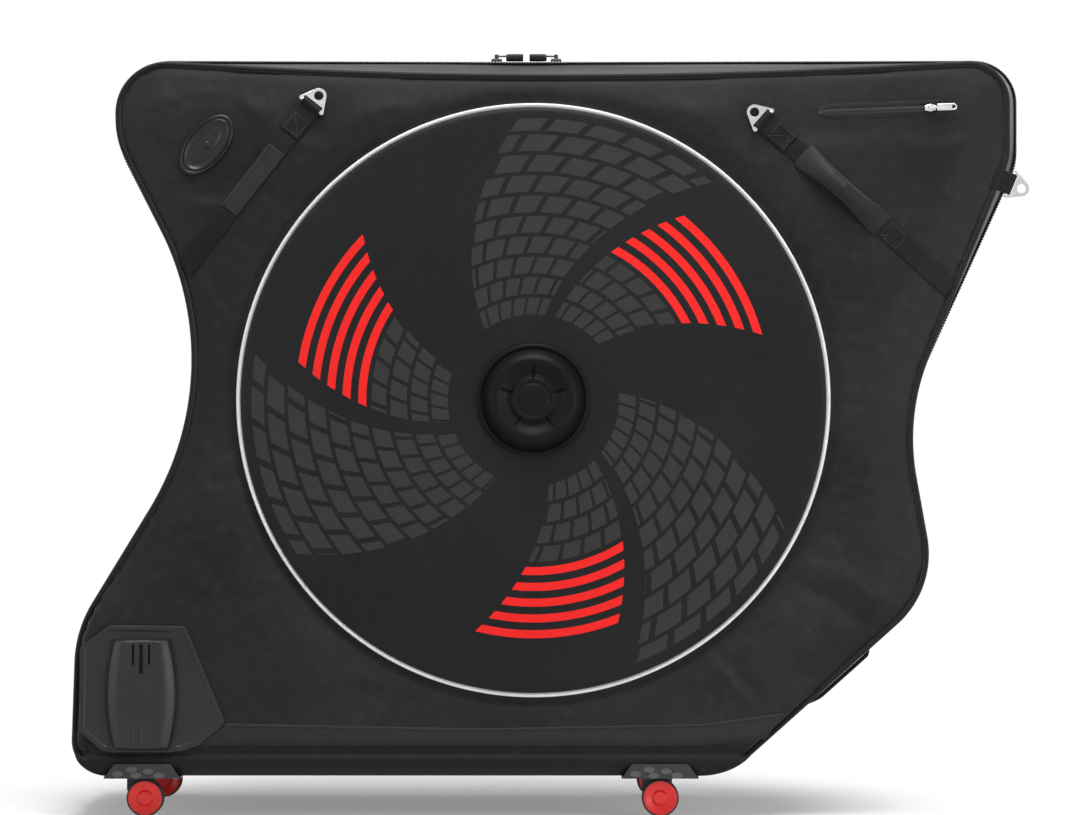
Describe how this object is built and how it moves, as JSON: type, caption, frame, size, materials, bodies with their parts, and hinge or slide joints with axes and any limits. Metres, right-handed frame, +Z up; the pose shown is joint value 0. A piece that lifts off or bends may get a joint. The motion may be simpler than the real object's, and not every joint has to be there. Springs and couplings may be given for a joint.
{
  "type": "bike travel case",
  "caption": "soft-sided travel case for a road bike: zipped padded sides with wheel pockets over a base tub with a bike stand, on swivelling twin-wheel casters",
  "frame": {"origin": "on the floor under the middle of the case, wheels resting on the floor", "axes": "+X along the length to the front, +Y across from the near side to the far side, +Z up"},
  "size_m": [1.1372, 0.4904, 0.91],
  "materials": {
    "shell_fabric": "coated woven nylon, soft sheen",
    "lining_fabric": "plain woven lining",
    "printed_fabric": "printed woven panel, charcoal with grey and red",
    "pale_piping": "pale coated piping",
    "black_piping": "black coated piping",
    "webbing": "woven nylon webbing",
    "padded_grip": "padded knit grip",
    "moulded_guard": "moulded plastic, fine grain",
    "tub_plastic": "moulded base with fabric skin",
    "bracket_plastic": "grey-black moulded plastic",
    "fork_plastic": "black moulded plastic",
    "hub_plastic": "red moulded plastic",
    "tyre_rubber": "black rolling rubber",
    "zip_tape": "woven tape with moulded teeth",
    "zip_metal": "black lacquered metal",
    "ring_metal": "polished nickel plating",
    "screw_steel": "zinc plated",
    "stand_alloy": "powder-coated alloy",
    "axle_steel": "turned steel",
    "lever_alloy": "satin alloy"
  },
  "bodies": {
    "base": {"base_tub": "tub_plastic", "rim_beads": "black_piping", "caster_brackets": "bracket_plastic", "bracket_screws": "screw_steel", "stand_frame": "stand_alloy", "rear_upright": "stand_alloy", "rear_hub": "axle_steel"},
    "rear_lever": {"rear_lever": "lever_alloy"},
    "front_carriage": {"front_carriage": "stand_alloy", "front_hub": "axle_steel"},
    "front_lever": {"front_lever": "lever_alloy"},
    "clamp_knob": {"clamp_knob": "moulded_guard"},
    "near_side": {"near_side_panel": "shell_fabric", "near_welt": "black_piping", "near_wheel_panel": "printed_fabric", "near_wheel_piping": "pale_piping", "near_hub_guard": "moulded_guard", "near_wheel_pocket": "lining_fabric", "near_webbing": "webbing", "near_grip": "padded_grip", "near_gusset": "shell_fabric", "near_zip_half": "zip_tape", "near_skirt": "shell_fabric", "gear_guard": "moulded_guard", "vent_fitting": "moulded_guard", "pocket_zip": "zip_tape"},
    "far_side": {"far_side_panel": "shell_fabric", "far_welt": "black_piping", "far_wheel_panel": "printed_fabric", "far_wheel_piping": "pale_piping", "far_hub_guard": "moulded_guard", "far_wheel_pocket": "lining_fabric", "far_webbing": "webbing", "far_grip": "padded_grip", "far_gusset": "shell_fabric", "far_zip_half": "zip_tape", "far_skirt": "shell_fabric"},
    "caster_rear_near": {"caster_fork_rear_near": "fork_plastic"},
    "wheels_rear_near": {"caster_hubs_rear_near": "hub_plastic", "caster_tyres_rear_near": "tyre_rubber"},
    "caster_rear_far": {"caster_fork_rear_far": "fork_plastic"},
    "wheels_rear_far": {"caster_hubs_rear_far": "hub_plastic", "caster_tyres_rear_far": "tyre_rubber"},
    "caster_front_near": {"caster_fork_front_near": "fork_plastic"},
    "wheels_front_near": {"caster_hubs_front_near": "hub_plastic", "caster_tyres_front_near": "tyre_rubber"},
    "caster_front_far": {"caster_fork_front_far": "fork_plastic"},
    "wheels_front_far": {"caster_hubs_front_far": "hub_plastic", "caster_tyres_front_far": "tyre_rubber"},
    "near_rear_ring": {"near_rear_ring": "ring_metal"},
    "far_rear_ring": {"far_rear_ring": "ring_metal"},
    "near_front_ring": {"near_front_ring": "ring_metal"},
    "far_front_ring": {"far_front_ring": "ring_metal"},
    "tow_ring": {"tow_ring": "ring_metal"},
    "zip_slider_rear": {"zip_slider_rear": "zip_metal"},
    "zip_pull_rear": {"zip_pull_rear": "zip_metal"},
    "zip_slider_front": {"zip_slider_front": "zip_metal"},
    "zip_pull_front": {"zip_pull_front": "zip_metal"},
    "pocket_slider": {"pocket_slider": "ring_metal"},
    "pocket_pull": {"pocket_pull": "ring_metal"}
  },
  "joints": [
    {"name": "near_side_open", "type": "hinge", "parent": "base", "child": "near_side", "pos_m": [0, -0.219, 0.072], "axis": [1, 0, 0], "range_deg": [0, 90]},
    {"name": "far_side_open", "type": "hinge", "parent": "base", "child": "far_side", "pos_m": [0, 0.219, 0.072], "axis": [-1, 0, 0], "range_deg": [0, 90]},
    {"name": "swivel_rear_near", "type": "hinge", "parent": "base", "child": "caster_rear_near", "pos_m": [-0.48447, -0.178, 0.0493], "axis": [0, 0, 1], "continuous": true},
    {"name": "roll_rear_near", "type": "hinge", "parent": "caster_rear_near", "child": "wheels_rear_near", "pos_m": [-0.47347, -0.178, 0.0218], "axis": [0, 1, 0], "continuous": true},
    {"name": "swivel_rear_far", "type": "hinge", "parent": "base", "child": "caster_rear_far", "pos_m": [-0.48447, 0.178, 0.0493], "axis": [0, 0, 1], "continuous": true},
    {"name": "roll_rear_far", "type": "hinge", "parent": "caster_rear_far", "child": "wheels_rear_far", "pos_m": [-0.47347, 0.178, 0.0218], "axis": [0, 1, 0], "continuous": true},
    {"name": "swivel_front_near", "type": "hinge", "parent": "base", "child": "caster_front_near", "pos_m": [0.12305, -0.178, 0.0493], "axis": [0, 0, 1], "continuous": true},
    {"name": "roll_front_near", "type": "hinge", "parent": "caster_front_near", "child": "wheels_front_near", "pos_m": [0.13405, -0.178, 0.0218], "axis": [0, 1, 0], "continuous": true},
    {"name": "swivel_front_far", "type": "hinge", "parent": "base", "child": "caster_front_far", "pos_m": [0.12305, 0.178, 0.0493], "axis": [0, 0, 1], "continuous": true},
    {"name": "roll_front_far", "type": "hinge", "parent": "caster_front_far", "child": "wheels_front_far", "pos_m": [0.13405, 0.178, 0.0218], "axis": [0, 1, 0], "continuous": true},
    {"name": "carriage_slide", "type": "slide", "parent": "base", "child": "front_carriage", "axis": [1, 0, 0], "range_m": [-0.08, 0.015]},
    {"name": "rear_lever_swing", "type": "hinge", "parent": "base", "child": "rear_lever", "pos_m": [-0.46894, -0.0903, 0.235], "axis": [1, 0, 0], "range_deg": [0, 150]},
    {"name": "front_lever_swing", "type": "hinge", "parent": "front_carriage", "child": "front_lever", "pos_m": [0.3694, -0.0753, 0.31], "axis": [1, 0, 0], "range_deg": [0, 150]},
    {"name": "clamp_knob_turn", "type": "hinge", "parent": "front_carriage", "child": "clamp_knob", "pos_m": [0.04531, 0, 0.0783], "axis": [0, 0, 1], "range_deg": [-180, 180]},
    {"name": "near_rear_ring_swing", "type": "hinge", "parent": "near_side", "child": "near_rear_ring", "pos_m": [-0.27672, -0.20625, 0.83778], "axis": [0.788, -0.0161, -0.6155], "range_deg": [0, 150]},
    {"name": "far_rear_ring_swing", "type": "hinge", "parent": "far_side", "child": "far_rear_ring", "pos_m": [-0.27672, 0.20625, 0.83778], "axis": [-0.788, -0.0161, 0.6155], "range_deg": [0, 150]},
    {"name": "near_front_ring_swing", "type": "hinge", "parent": "near_side", "child": "near_front_ring", "pos_m": [0.25515, -0.20671, 0.82021], "axis": [0.6665, 0.0195, 0.7452], "range_deg": [0, 150]},
    {"name": "far_front_ring_swing", "type": "hinge", "parent": "far_side", "child": "far_front_ring", "pos_m": [0.25515, 0.20671, 0.82021], "axis": [-0.6665, 0.0195, -0.7452], "range_deg": [0, 150]},
    {"name": "tow_ring_swing", "type": "hinge", "parent": "near_side", "child": "tow_ring", "pos_m": [0.54629, -0.19336, 0.74556], "axis": [-0.3789, -0.0242, -0.9251], "range_deg": [-80, 80]},
    {"name": "zip_slider_rear_run", "type": "slide", "parent": "near_side", "child": "zip_slider_rear", "axis": [-1, 0, 0.0034], "range_m": [0, 0.36]},
    {"name": "zip_pull_rear_flip", "type": "hinge", "parent": "zip_slider_rear", "child": "zip_pull_rear", "pos_m": [-0.0603, 0, 0.9075], "axis": [0, -1, 0], "range_deg": [0, 150]},
    {"name": "zip_slider_front_run", "type": "slide", "parent": "near_side", "child": "zip_slider_front", "axis": [1, 0, 0.0029], "range_m": [0, 0.42]},
    {"name": "zip_pull_front_flip", "type": "hinge", "parent": "zip_slider_front", "child": "zip_pull_front", "pos_m": [0.01164, 0, 0.90748], "axis": [0, 1, 0], "range_deg": [0, 150]},
    {"name": "pocket_slider_run", "type": "slide", "parent": "near_side", "child": "pocket_slider", "axis": [-0.9993, -0.001, -0.0366], "range_m": [0, 0.12]},
    {"name": "pocket_pull_flip", "type": "hinge", "parent": "pocket_slider", "child": "pocket_pull", "pos_m": [0.45132, -0.21113, 0.83498], "axis": [0.0366, -0.0262, -0.999], "range_deg": [0, 150]}
  ]
}
